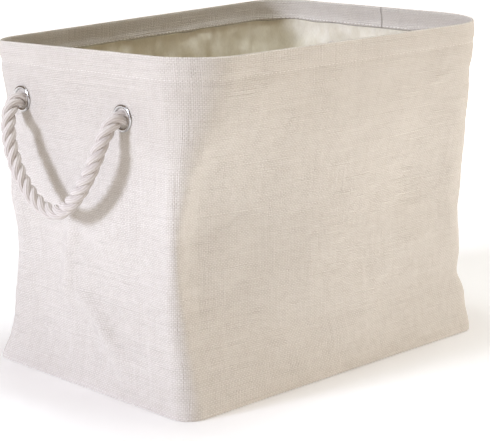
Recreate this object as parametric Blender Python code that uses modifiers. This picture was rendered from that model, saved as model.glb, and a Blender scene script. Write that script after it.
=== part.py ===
"""Fabric storage bin: a soft rectangular bin of heavy linen-look cloth with a thin lining, a stiffened
base, four metal eyelets and two rope handles that swing up from the end walls.

Metres, +Z up. The origin is the middle of the underside. X runs along the bin, Y across it.
The bin is the same when it is turned half round about Z, so the two handles sit a little off centre
towards opposite long sides.
"""

import math

import bmesh
import bpy
import numpy as np
from mathutils import Vector

OBJECT_NAME = "fabric_storage_bin"

# Outer shape of the wall: height, half length, half width, corner radius. The soft wall falls in
# between the stiff base and the hemmed rim, and its corners open out towards the rim.
RIM_HEIGHT = 0.360
WALL_STATIONS = (
    (0.000, 0.2225, 0.1525, 0.015),
    (0.020, 0.2195, 0.1500, 0.018),
    (0.045, 0.2160, 0.1465, 0.022),
    (0.085, 0.2140, 0.1445, 0.028),
    (0.135, 0.2150, 0.1460, 0.034),
    (0.185, 0.2190, 0.1500, 0.041),
    (0.230, 0.2240, 0.1550, 0.044),
    (0.270, 0.2275, 0.1590, 0.046),
    (0.320, 0.2275, 0.1635, 0.048),
    (RIM_HEIGHT, 0.2275, 0.1655, 0.060),
)
CORNER_STEPS = 5
SIDE_STEPS = 8
SMALLEST_CORNER = 0.001
STATION_CLEARANCE = 0.002

# Layers of the wall, as distances in from the outer surface, and of the base, as heights.
GAP = 0.0003
CLOTH = 0.0012
LINING = 0.0008
BOARD = 0.0030
SEAM_STRIP = 0.0010
SEAM_IN = CLOTH + GAP
LINING_IN = SEAM_IN + SEAM_STRIP + GAP
HEM_IN = LINING_IN + LINING + GAP
BOBBIN_IN = HEM_IN + CLOTH + GAP
BOARD_BOTTOM = CLOTH + GAP
BOARD_TOP = BOARD_BOTTOM + BOARD
LINING_BASE_BOTTOM = BOARD_TOP + GAP
LINING_BASE_TOP = LINING_BASE_BOTTOM + LINING
FLOOR_CLEARANCE = 0.0016

# Hem turned in over the rim, the thread that holds it, and the joint of the one long wall panel.
HEM_DEPTH = 0.025
STITCH_DEPTH = 0.0225
THREAD = 0.0005
THREAD_HEIGHT = 0.0008
SEAM_HALF_WIDTH = 0.011
SEAM_TOP = RIM_HEIGHT - 0.004

# Eyelets in the end walls.
EYELET_HEIGHT = 0.293
EYELET_HALF_SPAN = 0.0786
HANDLE_OFFSET = 0.019
EYELET_WALL = 0.2275
FLANGE_RADIUS = 0.0148
BORE_RADIUS = 0.0102
BARREL_RADIUS = 0.0110
FLANGE_THICKNESS = 0.0016
FLANGE_CHAMFER = 0.0012
CHAMFER_DEPTH = 0.0010
CROWN_RADIUS = BARREL_RADIUS + 0.0005
WASHER_THICKNESS = 0.0008
TURNED_STEPS = 24
MERGE_DISTANCE = 0.00005
CUTTER_LENGTH = 0.030

# Rope handles. The loop turns about the line through its two rounded ends.
ROPE_RADIUS = 0.008
KNOT_RADIUS = 0.0205
KNOT_LENGTH = 0.036
HINGE_X = 0.2400
STUB_END_X = HINGE_X - ROPE_RADIUS - GAP
ROPE_STEP = 0.018
CURVE_SAMPLES = 10
KNOT_STEPS = 6
ROUNDED_END = (0.98, 0.85, 0.55)
# Half of the hanging loop, from the hinge to the lowest point: distance from the bin's middle
# along X, distance from the handle's middle along Y, and height.
HALF_LOOP = (
    (0.2400, 0.0786, 0.2930),
    (0.2470, 0.0765, 0.2830),
    (0.2525, 0.0730, 0.2700),
    (0.2570, 0.0670, 0.2530),
    (0.2598, 0.0575, 0.2350),
    (0.2610, 0.0440, 0.2165),
    (0.2610, 0.0280, 0.2015),
    (0.2602, 0.0130, 0.1935),
    (0.2598, 0.0000, 0.1912),
)

# The ends of the bin: name, direction along X, and the handle's middle along Y.
ENDS = (("left", -1, HANDLE_OFFSET), ("right", 1, -HANDLE_OFFSET))
SIDES = (("front", -1), ("rear", 1))


def clear_scene():
    for obj in list(bpy.data.objects):
        bpy.data.objects.remove(obj, do_unlink=True)


def new_collection(name):
    collection = bpy.data.collections.new(name)
    bpy.context.scene.collection.children.link(collection)
    return collection


def material(name, colour, roughness, metallic=0.0):
    made = bpy.data.materials.new(name)
    made.use_nodes = True
    shader = made.node_tree.nodes["Principled BSDF"]
    shader.inputs["Base Color"].default_value = (*colour, 1.0)
    shader.inputs["Roughness"].default_value = roughness
    shader.inputs["Metallic"].default_value = metallic
    return made


def add_object(name, mesh, look, collection):
    obj = bpy.data.objects.new(name, mesh)
    collection.objects.link(obj)
    if look:
        mesh.materials.append(look)
    return obj


def mesh_from(name, points, faces):
    """A closed mesh from points and faces, with its faces turned outwards."""
    mesh = bpy.data.meshes.new(name)
    mesh.from_pydata([tuple(p) for p in points], [], faces)
    bm = bmesh.new()
    bm.from_mesh(mesh)
    bmesh.ops.recalc_face_normals(bm, faces=bm.faces)
    bm.to_mesh(mesh)
    bm.free()
    return mesh


# ---------------------------------------------------------------- wall, lining, hem, threads


def wall_size(height):
    """Half length, half width and corner radius of the outer surface at a height."""
    stations = np.array(WALL_STATIONS)
    return tuple(np.interp(height, stations[:, 0], stations[:, i]) for i in (1, 2, 3))


def outline(height, inset):
    """Points round the bin at a height, that far in from the outer surface."""
    half_length, half_width, radius = wall_size(height)
    centre_x = half_length - radius
    centre_y = half_width - radius
    turn = max(radius - inset, SMALLEST_CORNER)
    points = []
    for corner, (sx, sy) in enumerate(((1, 1), (-1, 1), (-1, -1), (1, -1))):
        for step in range(CORNER_STEPS + 1):
            angle = (corner + step / CORNER_STEPS) * math.pi / 2
            x = sx * centre_x + turn * math.cos(angle)
            y = sy * centre_y + turn * math.sin(angle)
            points.append(Vector((x, y, height)))
    spread = []
    for i, point in enumerate(points):
        spread.append(point)
        if i % (CORNER_STEPS + 1) == CORNER_STEPS:
            after = points[(i + 1) % len(points)]
            for step in range(1, SIDE_STEPS):
                spread.append(point.lerp(after, step / SIDE_STEPS))
    return spread


def band_round_wall(name, section, look, collection):
    """A closed band that follows the wall: section lists its corners as (height, inset)."""
    rings = [outline(height, inset) for height, inset in section]
    count = len(rings[0])
    points = [p for ring in rings for p in ring]
    faces = []
    for i in range(len(rings)):
        j = (i + 1) % len(rings)
        for k in range(count):
            m = (k + 1) % count
            faces.append((i * count + k, i * count + m, j * count + m, j * count + k))
    return add_object(name, mesh_from(name, points, faces), look, collection)


def heights_between(bottom, top):
    """The two heights, and the wall's stations that lie clear of both."""
    low = bottom + STATION_CLEARANCE
    high = top - STATION_CLEARANCE
    return [bottom] + [z for z, *_ in WALL_STATIONS if low < z < high] + [top]


def wall_section(bottom, top, inset, thickness):
    """Section of a cloth layer that runs from bottom to top beside the outer surface."""
    heights = heights_between(bottom, top)
    outside = [(z, inset) for z in heights]
    inside = [(z, inset + thickness) for z in reversed(heights)]
    return outside + inside


def base_plate(name, bottom, top, inset, look, collection):
    """A flat layer of the base, inside the wall."""
    below = [Vector((p.x, p.y, bottom)) for p in outline(top, inset)]
    above = outline(top, inset)
    count = len(above)
    faces = [tuple(reversed(range(count))), tuple(range(count, 2 * count))]
    for k in range(count):
        m = (k + 1) % count
        faces.append((k, m, count + m, count + k))
    return add_object(name, mesh_from(name, below + above, faces), look, collection)


def panel_seam(name, look, collection):
    """The allowance behind the vertical seam that closes the long wall panel, on the right end."""
    heights = heights_between(LINING_BASE_TOP, SEAM_TOP)
    points = []
    for z in heights:
        face = wall_size(z)[0] - SEAM_IN
        for x, y in (
            (face, -SEAM_HALF_WIDTH),
            (face, SEAM_HALF_WIDTH),
            (face - SEAM_STRIP, SEAM_HALF_WIDTH),
            (face - SEAM_STRIP, -SEAM_HALF_WIDTH),
        ):
            points.append((x, y, z))
    last = 4 * (len(heights) - 1)
    faces = [(3, 2, 1, 0), (last, last + 1, last + 2, last + 3)]
    for i in range(len(heights) - 1):
        for k in range(4):
            m = (k + 1) % 4
            faces.append((4 * i + k, 4 * i + m, 4 * i + 4 + m, 4 * i + 4 + k))
    return add_object(name, mesh_from(name, points, faces), look, collection)


def cut_eyelet_holes(walls, cutters):
    """Round holes through the wall layers for the eyelet barrels."""
    for end, outward, middle in ENDS:
        for side, hand in SIDES:
            mesh = bpy.data.meshes.new("eyelet_hole")
            bm = bmesh.new()
            bmesh.ops.create_cone(
                bm,
                cap_ends=True,
                segments=TURNED_STEPS,
                radius1=BARREL_RADIUS + GAP,
                radius2=BARREL_RADIUS + GAP,
                depth=CUTTER_LENGTH,
            )
            bm.to_mesh(mesh)
            bm.free()
            cutter = add_object(f"eyelet_hole_{end}_{side}", mesh, None, cutters)
            cutter.rotation_euler = (0, math.pi / 2, 0)
            cutter.location = (
                outward * EYELET_WALL,
                middle + hand * EYELET_HALF_SPAN,
                EYELET_HEIGHT,
            )
            cutter.hide_render = True
            cutter.display_type = "WIRE"
            for wall in walls:
                cut = wall.modifiers.new(cutter.name, "BOOLEAN")
                cut.operation = "DIFFERENCE"
                cut.solver = "EXACT"
                cut.object = cutter


# ---------------------------------------------------------------- eyelets and rope


def turned(name, profile, closed, look, collection):
    """A piece turned about local Z. The profile runs down its outer side, as (radius, height)."""
    edges = [(i, i + 1) for i in range(len(profile) - 1)]
    if closed:
        edges.append((len(profile) - 1, 0))
    mesh = bpy.data.meshes.new(name)
    mesh.from_pydata([(radius, 0, height) for radius, height in profile], edges, [])
    obj = add_object(name, mesh, look, collection)
    screw = obj.modifiers.new("turn", "SCREW")
    screw.axis = "Z"
    screw.angle = 2 * math.pi
    screw.steps = TURNED_STEPS
    screw.render_steps = TURNED_STEPS
    screw.use_merge_vertices = True
    screw.merge_threshold = MERGE_DISTANCE
    screw.use_smooth_shade = True
    return obj


def face_outwards(obj, outward, y):
    """Stands a turned piece on an end wall: local Z points out of the bin from the wall's face."""
    obj.rotation_euler = (0, outward * math.pi / 2, 0)
    obj.location = (outward * EYELET_WALL, y, EYELET_HEIGHT)


def eyelet(name, outward, y, look, collection):
    """Flange with a rolled crown outside, and the barrel that passes through the wall layers."""
    inner_end = -(LINING_IN + LINING + GAP + WASHER_THICKNESS)
    profile = (
        (CROWN_RADIUS, FLANGE_THICKNESS),
        (FLANGE_RADIUS - FLANGE_CHAMFER, FLANGE_THICKNESS),
        (FLANGE_RADIUS, CHAMFER_DEPTH),
        (FLANGE_RADIUS, GAP),
        (BARREL_RADIUS, GAP),
        (BARREL_RADIUS, inner_end),
        (BORE_RADIUS, inner_end),
        (BORE_RADIUS, CHAMFER_DEPTH),
    )
    obj = turned(name, profile, True, look, collection)
    face_outwards(obj, outward, y)


def washer(name, outward, y, look, collection):
    """Ring pressed on behind the lining, round the end of the barrel."""
    top = -(LINING_IN + LINING + GAP)
    bottom = top - WASHER_THICKNESS
    profile = (
        (BARREL_RADIUS + GAP, top),
        (FLANGE_RADIUS, top),
        (FLANGE_RADIUS, bottom),
        (BARREL_RADIUS + GAP, bottom),
    )
    obj = turned(name, profile, True, look, collection)
    face_outwards(obj, outward, y)


def rope_end(name, outward, y, look, collection):
    """The rope where it passes through an eyelet, and the stopper knot inside the bin."""
    knot_top = -(LINING_IN + LINING + 2 * GAP + WASHER_THICKNESS)
    profile = [
        (0.0, STUB_END_X - EYELET_WALL),
        (ROPE_RADIUS, STUB_END_X - EYELET_WALL),
        (ROPE_RADIUS, knot_top),
    ]
    start = math.asin(ROPE_RADIUS / KNOT_RADIUS)
    for i in range(1, KNOT_STEPS + 1):
        angle = start + (math.pi - start) * i / KNOT_STEPS
        depth = (math.cos(start) - math.cos(angle)) / (math.cos(start) + 1)
        radius = KNOT_RADIUS * math.sin(angle) if i < KNOT_STEPS else 0.0
        profile.append((radius, knot_top - KNOT_LENGTH * depth))
    obj = turned(name, profile, False, look, collection)
    face_outwards(obj, outward, y)


def smooth_line(route, step):
    """Points about step apart on a smooth curve through the route's own points."""
    route = [Vector(p) for p in route]
    ahead = route[1:] + [2 * route[-1] - route[-2]]
    behind = [2 * route[0] - route[1]] + route[:-1]
    tangents = [(b - a) / 2 for a, b in zip(behind, ahead)]
    fine = []
    for i in range(len(route) - 1):
        for k in range(CURVE_SAMPLES):
            t = k / CURVE_SAMPLES
            fine.append(
                route[i] * (2 * t**3 - 3 * t**2 + 1)
                + tangents[i] * (t**3 - 2 * t**2 + t)
                + route[i + 1] * (3 * t**2 - 2 * t**3)
                + tangents[i + 1] * (t**3 - t**2)
            )
    fine.append(route[-1])
    lengths = [0.0]
    for a, b in zip(fine, fine[1:]):
        lengths.append(lengths[-1] + (b - a).length)
    count = max(2, round(lengths[-1] / step))
    marks = np.linspace(0, lengths[-1], count + 1)
    columns = [np.interp(marks, lengths, [p[i] for p in fine]) for i in range(3)]
    return [Vector(p) for p in zip(*columns)]


def rope_loop(name, outward, middle, look, collection):
    """The hanging loop: a tube whose two ends are rounded about the hinge line."""
    half = [(outward * x, y, z) for x, y, z in HALF_LOOP]
    rear = [(x, middle + y, z) for x, y, z in half]
    front = [(x, middle - y, z) for x, y, z in reversed(half[:-1])]
    line = smooth_line(rear + front, ROPE_STEP)
    points = [(p, 1.0) for p in line]
    for order in (1, -1):
        ends = line[::order]
        back = (ends[0] - ends[1]).normalized()
        cap = []
        for share in ROUNDED_END:
            width = math.sqrt(1 - share**2)
            cap.append((ends[0] + back * ROPE_RADIUS * share, width))
        points = cap + points if order == 1 else points + cap[::-1]
    origin = Vector((outward * HINGE_X, middle, EYELET_HEIGHT))
    curve = bpy.data.curves.new(name, "CURVE")
    curve.dimensions = "3D"
    curve.bevel_depth = ROPE_RADIUS
    curve.bevel_resolution = 2
    curve.use_fill_caps = True
    spline = curve.splines.new("POLY")
    spline.points.add(len(points) - 1)
    for target, (place, width) in zip(spline.points, points):
        target.co = (*(place - origin), 1.0)
        target.radius = width
    obj = add_object(name, curve, look, collection)
    obj.location = origin


# ---------------------------------------------------------------- assembly


def main():
    clear_scene()
    parts = new_collection(OBJECT_NAME)
    cutters = new_collection("cutters")
    cloth = material("outer_cloth", (0.78, 0.72, 0.66), 0.9)
    lining = material("lining_cloth", (0.72, 0.69, 0.60), 0.75)
    thread = material("thread", (0.80, 0.76, 0.70), 0.8)
    board = material("base_board", (0.55, 0.52, 0.48), 0.8)
    steel = material("eyelet_metal", (0.74, 0.73, 0.71), 0.25, 1.0)
    cotton = material("rope_cotton", (0.82, 0.77, 0.70), 0.9)

    wall_top = RIM_HEIGHT - CLOTH - GAP
    outer_wall = band_round_wall(
        "outer_wall", wall_section(0.0, wall_top, 0.0, CLOTH), cloth, parts
    )
    lining_wall = band_round_wall(
        "lining_wall",
        wall_section(LINING_BASE_BOTTOM, wall_top, LINING_IN, LINING),
        lining,
        parts,
    )
    cut_eyelet_holes((outer_wall, lining_wall), cutters)

    hem_bottom = RIM_HEIGHT - HEM_DEPTH
    hem = (
        (RIM_HEIGHT, 0.0),
        (RIM_HEIGHT, HEM_IN + CLOTH),
        (hem_bottom, HEM_IN + CLOTH),
        (hem_bottom, HEM_IN),
        (RIM_HEIGHT - CLOTH, HEM_IN),
        (RIM_HEIGHT - CLOTH, 0.0),
    )
    band_round_wall("turned_hem", hem, cloth, parts)
    stitch_top = RIM_HEIGHT - STITCH_DEPTH + THREAD_HEIGHT / 2
    stitch_bottom = stitch_top - THREAD_HEIGHT
    for name, inset in (("hem_topstitch", -GAP - THREAD), ("hem_bobbin_stitch", BOBBIN_IN)):
        section = wall_section(stitch_bottom, stitch_top, inset, THREAD)
        band_round_wall(name, section, thread, parts)
    panel_seam("panel_seam_allowance", cloth, parts)

    base_plate("outer_base", 0.0, CLOTH, CLOTH + GAP, cloth, parts)
    base_plate("base_board", BOARD_BOTTOM, BOARD_TOP, CLOTH + 2 * GAP, board, parts)
    base_plate(
        "lining_base",
        LINING_BASE_BOTTOM,
        LINING_BASE_TOP,
        LINING_IN + LINING + FLOOR_CLEARANCE,
        lining,
        parts,
    )

    for end, outward, middle in ENDS:
        for side, hand in SIDES:
            y = middle + hand * EYELET_HALF_SPAN
            eyelet(f"eyelet_{end}_{side}", outward, y, steel, parts)
            washer(f"eyelet_washer_{end}_{side}", outward, y, steel, parts)
            rope_end(f"rope_knot_{end}_{side}", outward, y, cotton, parts)
        rope_loop(f"rope_handle_{end}", outward, middle, cotton, parts)


main()
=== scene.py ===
"""Looks of the fabric storage bin: cloth shell with its turned hem, crinkled lining, stitches, eyelets,
three-strand rope handles with stopper knots, and a plain studio.

Metres, +Z up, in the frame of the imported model. "Left" is the -X end and "front" the -Y side.
"""

import math

import bpy
import numpy as np
from mathutils import Matrix, Vector


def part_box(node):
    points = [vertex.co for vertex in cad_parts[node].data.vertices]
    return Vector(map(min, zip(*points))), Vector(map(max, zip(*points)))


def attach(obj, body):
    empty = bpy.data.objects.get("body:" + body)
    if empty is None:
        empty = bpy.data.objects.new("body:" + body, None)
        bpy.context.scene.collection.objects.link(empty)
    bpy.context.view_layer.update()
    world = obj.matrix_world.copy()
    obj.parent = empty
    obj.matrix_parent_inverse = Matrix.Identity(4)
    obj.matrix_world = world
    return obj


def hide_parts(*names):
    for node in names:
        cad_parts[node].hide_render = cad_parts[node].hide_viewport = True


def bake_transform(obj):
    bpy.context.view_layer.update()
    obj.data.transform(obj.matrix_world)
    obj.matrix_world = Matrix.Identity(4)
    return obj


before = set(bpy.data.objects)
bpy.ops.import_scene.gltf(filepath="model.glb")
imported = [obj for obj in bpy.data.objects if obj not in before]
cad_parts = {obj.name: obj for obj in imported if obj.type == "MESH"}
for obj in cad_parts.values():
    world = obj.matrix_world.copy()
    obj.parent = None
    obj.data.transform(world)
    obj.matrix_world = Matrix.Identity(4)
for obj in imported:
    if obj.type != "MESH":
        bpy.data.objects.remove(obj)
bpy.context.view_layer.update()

HEM_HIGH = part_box("turned_hem")[1]

# ---------------------------------------------------------------- outline of the wall

RIM = 0.360
HALF_X = 0.2275
HALF_Y = 0.1655

# The four corners of the wall, in the order met going round from the middle of the right end.
# Rows: height, how far the corner sits in from the upright box along X and along Y, radius.
CORNERS = (
    ("right_rear", 1, 1, (
        (0.000, 0.0050, 0.0130, 0.015),
        (0.030, 0.0110, 0.0180, 0.022),
        (0.085, 0.0150, 0.0220, 0.034),
        (0.150, 0.0130, 0.0190, 0.044),
        (0.230, 0.0070, 0.0110, 0.052),
        (0.300, 0.0030, 0.0030, 0.052),
        (0.360, 0.0023, -0.0023, 0.049),
    )),
    ("left_rear", -1, 1, (
        (0.000, 0.0010, 0.0090, 0.014),
        (0.016, 0.0045, 0.0122, 0.018),
        (0.042, 0.0105, 0.0177, 0.022),
        (0.085, 0.0120, 0.0190, 0.028),
        (0.130, 0.0130, 0.0190, 0.034),
        (0.174, 0.0095, 0.0132, 0.038),
        (0.230, 0.0077, 0.0107, 0.040),
        (0.280, 0.0080, 0.0096, 0.040),
        (0.330, 0.0045, 0.0052, 0.038),
        (0.360, 0.0050, 0.0050, 0.035),
    )),
    ("left_front", -1, -1, (
        (0.000, 0.0010, 0.0170, 0.022),
        (0.030, 0.0050, 0.0260, 0.020),
        (0.085, 0.0080, 0.0390, 0.018),
        (0.135, 0.0085, 0.0460, 0.013),
        (0.190, 0.0068, 0.0430, 0.016),
        (0.240, 0.0038, 0.0305, 0.024),
        (0.290, 0.0006, 0.0140, 0.038),
        (0.325, -0.0013, 0.0052, 0.052),
        (0.360, -0.0025, 0.0025, 0.060),
    )),
    ("right_front", 1, -1, (
        (0.000, 0.0058, 0.0138, 0.015),
        (0.025, 0.0077, 0.0152, 0.018),
        (0.050, 0.0072, 0.0146, 0.024),
        (0.070, 0.0109, 0.0174, 0.030),
        (0.092, 0.0080, 0.0145, 0.036),
        (0.148, 0.0070, 0.0115, 0.046),
        (0.204, 0.0068, 0.0094, 0.052),
        (0.246, 0.0060, 0.0075, 0.054),
        (0.288, 0.0037, 0.0047, 0.055),
        (0.310, 0.0018, 0.0028, 0.060),
        (0.330, -0.0020, -0.0015, 0.066),
        (0.360, -0.0045, -0.0045, 0.077),
    )),
)
# How far each side bows out in the middle. Rows: height, right end, rear side, left end, front side.
BOW = (
    (0.000, 0.0000, 0.0000, 0.0000, 0.0000),
    (0.050, -0.0010, 0.0010, 0.0000, 0.0045),
    (0.120, -0.0010, 0.0040, 0.0010, 0.0130),
    (0.200, 0.0000, 0.0060, 0.0020, 0.0150),
    (0.260, 0.0000, 0.0050, 0.0010, 0.0090),
    (0.310, 0.0000, 0.0015, 0.0000, 0.0025),
    (0.360, 0.0000, 0.0000, 0.0000, 0.0000),
)
# How far the rim dips at each corner, and the height from which the wall dips with it.
RIM_DROP = (0.005, 0.012, 0.000, 0.001)
DROP_FROM = 0.200
END_COLUMNS = 66
SIDE_COLUMNS = 100
CORNER_COLUMNS = 16


def hermite(t):
    """Weights of a span's start, start slope, end and end slope, at a share of the way along it."""
    return 2 * t**3 - 3 * t**2 + 1, t**3 - 2 * t**2 + t, 3 * t**2 - 2 * t**3, t**3 - t**2


def smooth_rows(rows, at):
    """Values of a table at any heights, on a smooth curve through its rows."""
    table = np.array(rows, float)
    x, y = table[:, 0], table[:, 1:]
    slope = np.gradient(y, x, axis=0)
    at = np.clip(at, x[0], x[-1])
    i = np.clip(np.searchsorted(x, at, side="right") - 1, 0, len(x) - 2)
    h = x[i + 1] - x[i]
    t = ((at - x[i]) / h)[..., None]
    h = h[..., None]
    start, start_slope, end, end_slope = hermite(t)
    return (start * y[i] + start_slope * h * slope[i]) + (end * y[i + 1] + end_slope * h * slope[i + 1])


def smoothstep(x, low, high):
    """0 up to low and 1 from high, with a smooth rise between."""
    t = np.clip((x - low) / (high - low), 0, 1)
    return t * t * (3 - 2 * t)


def column_list():
    """(kind, index, share) of each column: along side i, or round corner i."""
    half = END_COLUMNS // 2
    found = [("side", 0, 0.5 + 0.5 * k / half) for k in range(half)]
    for corner, count in enumerate((SIDE_COLUMNS, END_COLUMNS, SIDE_COLUMNS, 0)):
        found += [("corner", corner, k / CORNER_COLUMNS) for k in range(CORNER_COLUMNS)]
        found += [("side", corner + 1, k / count) for k in range(count)]
    found += [("side", 0, 0.5 * k / half) for k in range(half)]
    return found


COLUMNS = column_list()
IS_CORNER = np.array([c[0] == "corner" for c in COLUMNS])
WHICH = np.array([c[1] for c in COLUMNS])
SHARE = np.array([c[2] for c in COLUMNS], float)
COUNT = len(COLUMNS)
ALL = np.arange(COUNT)
# The middles of the four sides, where the threads that run up the cloth are upright.
QUARTERS = [0, *np.flatnonzero(~IS_CORNER & (WHICH > 0) & (SHARE == 0.5)).tolist(), COUNT]


def plan(z, column):
    """Points of the wall's outline without its folds, at those heights and columns."""
    corners = []
    radii = []
    for _, sx, sy, rows in CORNERS:
        value = smooth_rows(rows, z)
        corner = [sx * (HALF_X - value[..., 0]), sy * (HALF_Y - value[..., 1])]
        corners.append(np.stack(corner, -1))
        radii.append(value[..., 2])
    bow = smooth_rows(BOW, z)
    out = np.zeros(z.shape + (2,))
    starts, ends, turns = [], [], []
    for i in range(4):
        v = corners[i]
        d1 = v - corners[i - 1]
        d1 /= np.linalg.norm(d1, axis=-1, keepdims=True)
        d2 = corners[(i + 1) % 4] - v
        d2 /= np.linalg.norm(d2, axis=-1, keepdims=True)
        half_turn = np.arccos(np.clip((d1 * d2).sum(-1), -1, 1)) / 2
        reach = (radii[i] * np.tan(half_turn))[..., None]
        starts.append(v - d1 * reach)
        ends.append(v + d2 * reach)
        turns.append(np.cos(half_turn)[..., None])
    in_corner, which, s = IS_CORNER[column], WHICH[column], SHARE[column][..., None]
    for i in range(4):
        w = turns[i]
        bend = (1 - s) ** 2 * starts[i] + 2 * w * s * (1 - s) * corners[i] + s**2 * ends[i]
        bend /= (1 - s) ** 2 + 2 * w * s * (1 - s) + s**2
        out = np.where((in_corner & (which == i))[..., None], bend, out)
        a, b = ends[i - 1], starts[i]
        along = b - a
        outward = np.stack([along[..., 1], -along[..., 0]], -1)
        outward /= np.linalg.norm(outward, axis=-1, keepdims=True)
        swell = np.sin(np.pi * s) ** 2 * bow[..., i : i + 1]
        flat = a + along * s + outward * swell
        out = np.where((~in_corner & (which == i))[..., None], flat, out)
    return out


# ---------------------------------------------------------------- folds and dents of the cloth

SIDE_NORMALS = {"right": (1, 0), "rear": (0, 1), "left": (-1, 0), "front": (0, -1)}
# Soft creases: side, from (along, height), to (along, height), width, how far it stands out.
CREASES = (
    ("left", (0.030, 0.172), (0.046, 0.105), 0.009, 0.0045),
    ("left", (0.016, 0.092), (-0.018, 0.062), 0.010, 0.0042),
    ("left", (-0.016, 0.066), (-0.054, 0.028), 0.011, 0.0040),
    ("left", (-0.140, 0.340), (-0.082, 0.276), 0.016, 0.0022),
    ("left", (0.120, 0.215), (0.128, 0.050), 0.030, 0.0030),
    ("left", (-0.100, 0.150), (-0.030, 0.120), 0.022, -0.0016),
    ("left", (0.050, 0.330), (-0.030, 0.322), 0.020, -0.0010),
    ("front", (0.192, 0.318), (0.128, 0.303), 0.007, 0.0014),
    ("front", (0.104, 0.124), (0.186, 0.139), 0.012, 0.0014),
    ("front", (0.100, 0.190), (0.190, 0.140), 0.030, -0.0026),
    ("front", (-0.135, 0.290), (-0.045, 0.190), 0.060, 0.0030),
    ("front", (-0.195, 0.300), (-0.190, 0.120), 0.020, -0.0025),
    ("front", (0.020, 0.110), (0.090, 0.060), 0.030, -0.0016),
    ("front", (-0.150, 0.090), (-0.060, 0.050), 0.030, -0.0014),
    ("right", (0.060, 0.190), (-0.010, 0.110), 0.014, 0.0022),
    ("right", (-0.090, 0.150), (-0.040, 0.070), 0.016, 0.0018),
    ("right", (0.100, 0.120), (0.060, 0.040), 0.014, -0.0020),
    ("rear", (-0.180, 0.290), (-0.080, 0.200), 0.016, 0.0022),
    ("rear", (0.040, 0.260), (0.150, 0.150), 0.024, -0.0030),
    ("rear", (-0.060, 0.150), (0.050, 0.080), 0.016, 0.0020),
    ("rear", (0.130, 0.300), (0.195, 0.240), 0.012, 0.0018),
)
# Soft unevenness all over the cloth: how high, wavelength, seed.
RIPPLES = ((0.0011, 0.110, 3), (0.0005, 0.045, 4), (0.00016, 0.017, 5))
RIM_RIPPLE = (0.0002, 0.050, 6)
RIPPLE_WAVES = 14
CLOTH = 0.0010
LINING_CLOTH = 0.0004
SEAM_Y = -0.0103
# The hem folds in over the rim. FOLD_INSET is the middle of the fold, in from the outline.
FOLD_INSET = 0.00175
FOLD_RADIUS = 0.00125
HEM_INSET = FOLD_INSET + FOLD_RADIUS
HEM_DEPTH = 0.0245
HEM_FOOT = RIM - HEM_DEPTH
# The stitched line dips in, and the hem above it stands out a little: how far, and over what height.
STITCH_DEPTH = 0.0222
STITCH_Z = RIM - STITCH_DEPTH
STITCH_DIP, STITCH_DIP_WIDTH = 0.0011, 0.0024
HEM_PUFF, HEM_PUFF_RISE = 0.0007, 0.005
# The panel seam is a fine groove in a faint swelling: how far, and how wide.
SEAM_GROOVE, SEAM_GROOVE_WIDTH = 0.0011, 0.0013
SEAM_SWELL, SEAM_SWELL_WIDTH = 0.0004, 0.006
FAR_FROM_SEAM = 9
LINING_INSET = 0.0021
# The wall is upright round the board's edge, and follows its outline again from LEAN_FROM up.
BOARD_EDGE = 0.0046
LEAN_FROM = 0.030
EYELET_X = HALF_X
EYELET_Z = 0.293
EYELET_SPAN = 0.0786
# The cloth lies flat within the first distance of an eyelet's middle, and freely beyond the second.
EYELET_FLAT = (0.017, 0.036)
HANDLE_OFFSET = 0.019
ENDS = (("left", -1, HANDLE_OFFSET), ("right", 1, -HANDLE_OFFSET))
EYELETS = [
    (f"{end}_{side}", sx, middle + hand * EYELET_SPAN)
    for end, sx, middle in ENDS
    for side, hand in (("front", -1), ("rear", 1))
]


def ripple(points, wavelength, seed):
    """A smooth random field of about that wavelength, near -1 to 1, the same on every run."""
    chance = np.random.default_rng(seed)
    total = np.zeros(points.shape[:-1])
    for _ in range(RIPPLE_WAVES):
        direction = chance.normal(size=points.shape[-1])
        direction /= np.linalg.norm(direction)
        length = wavelength * chance.uniform(0.7, 1.6)
        total += np.sin(points @ direction * 2 * np.pi / length + chance.uniform(0, 6.28))
    return total / math.sqrt(RIPPLE_WAVES)


def crease_height(side, start, end, width, height, place, normal):
    """How far one crease stands out, on the parts of the wall that face its side."""
    along = place[..., 1] if side in ("left", "right") else place[..., 0]
    n = np.array(SIDE_NORMALS[side], float)
    facing = np.clip(normal @ n, 0, 1) ** 2
    a, b = np.array(start), np.array(end)
    q = np.stack([along, place[..., 2]], -1) - a
    d = b - a
    length = np.linalg.norm(d)
    t = (q @ d) / length**2
    off = (q[..., 0] * d[1] - q[..., 1] * d[0]) / length
    beyond = np.maximum(np.abs(t - 0.5) - 0.5, 0) * length
    near = np.exp(-((off / width) ** 2) - (beyond / (1.3 * width)) ** 2)
    return height * near * facing


def folds(place, normal):
    """How far the cloth stands out from its outline."""
    z = place[..., 2]
    total = np.zeros(z.shape)
    for crease in CREASES:
        total += crease_height(*crease, place, normal)
    for height, wavelength, seed in RIPPLES:
        total += height * ripple(place, wavelength, seed)
    # The folds fade out at the foot, where the board holds the cloth, and mostly at the rim.
    total *= smoothstep(z, 0.002, 0.035) * (1 - 0.75 * smoothstep(z, 0.320, RIM))
    height, wavelength, seed = RIM_RIPPLE
    total += height * ripple(place, wavelength, seed)
    total -= STITCH_DIP * np.exp(-(((z - STITCH_Z) / STITCH_DIP_WIDTH) ** 2))
    total += HEM_PUFF * smoothstep(z, STITCH_Z, STITCH_Z + HEM_PUFF_RISE)
    faces_right = np.clip(normal[..., 0], 0, 1)
    off_seam = (place[..., 1] - SEAM_Y) * faces_right + FAR_FROM_SEAM * (1 - faces_right)
    groove = SEAM_GROOVE * np.exp(-((off_seam / SEAM_GROOVE_WIDTH) ** 2))
    return total - (groove - SEAM_SWELL * np.exp(-((off_seam / SEAM_SWELL_WIDTH) ** 2)))


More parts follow.
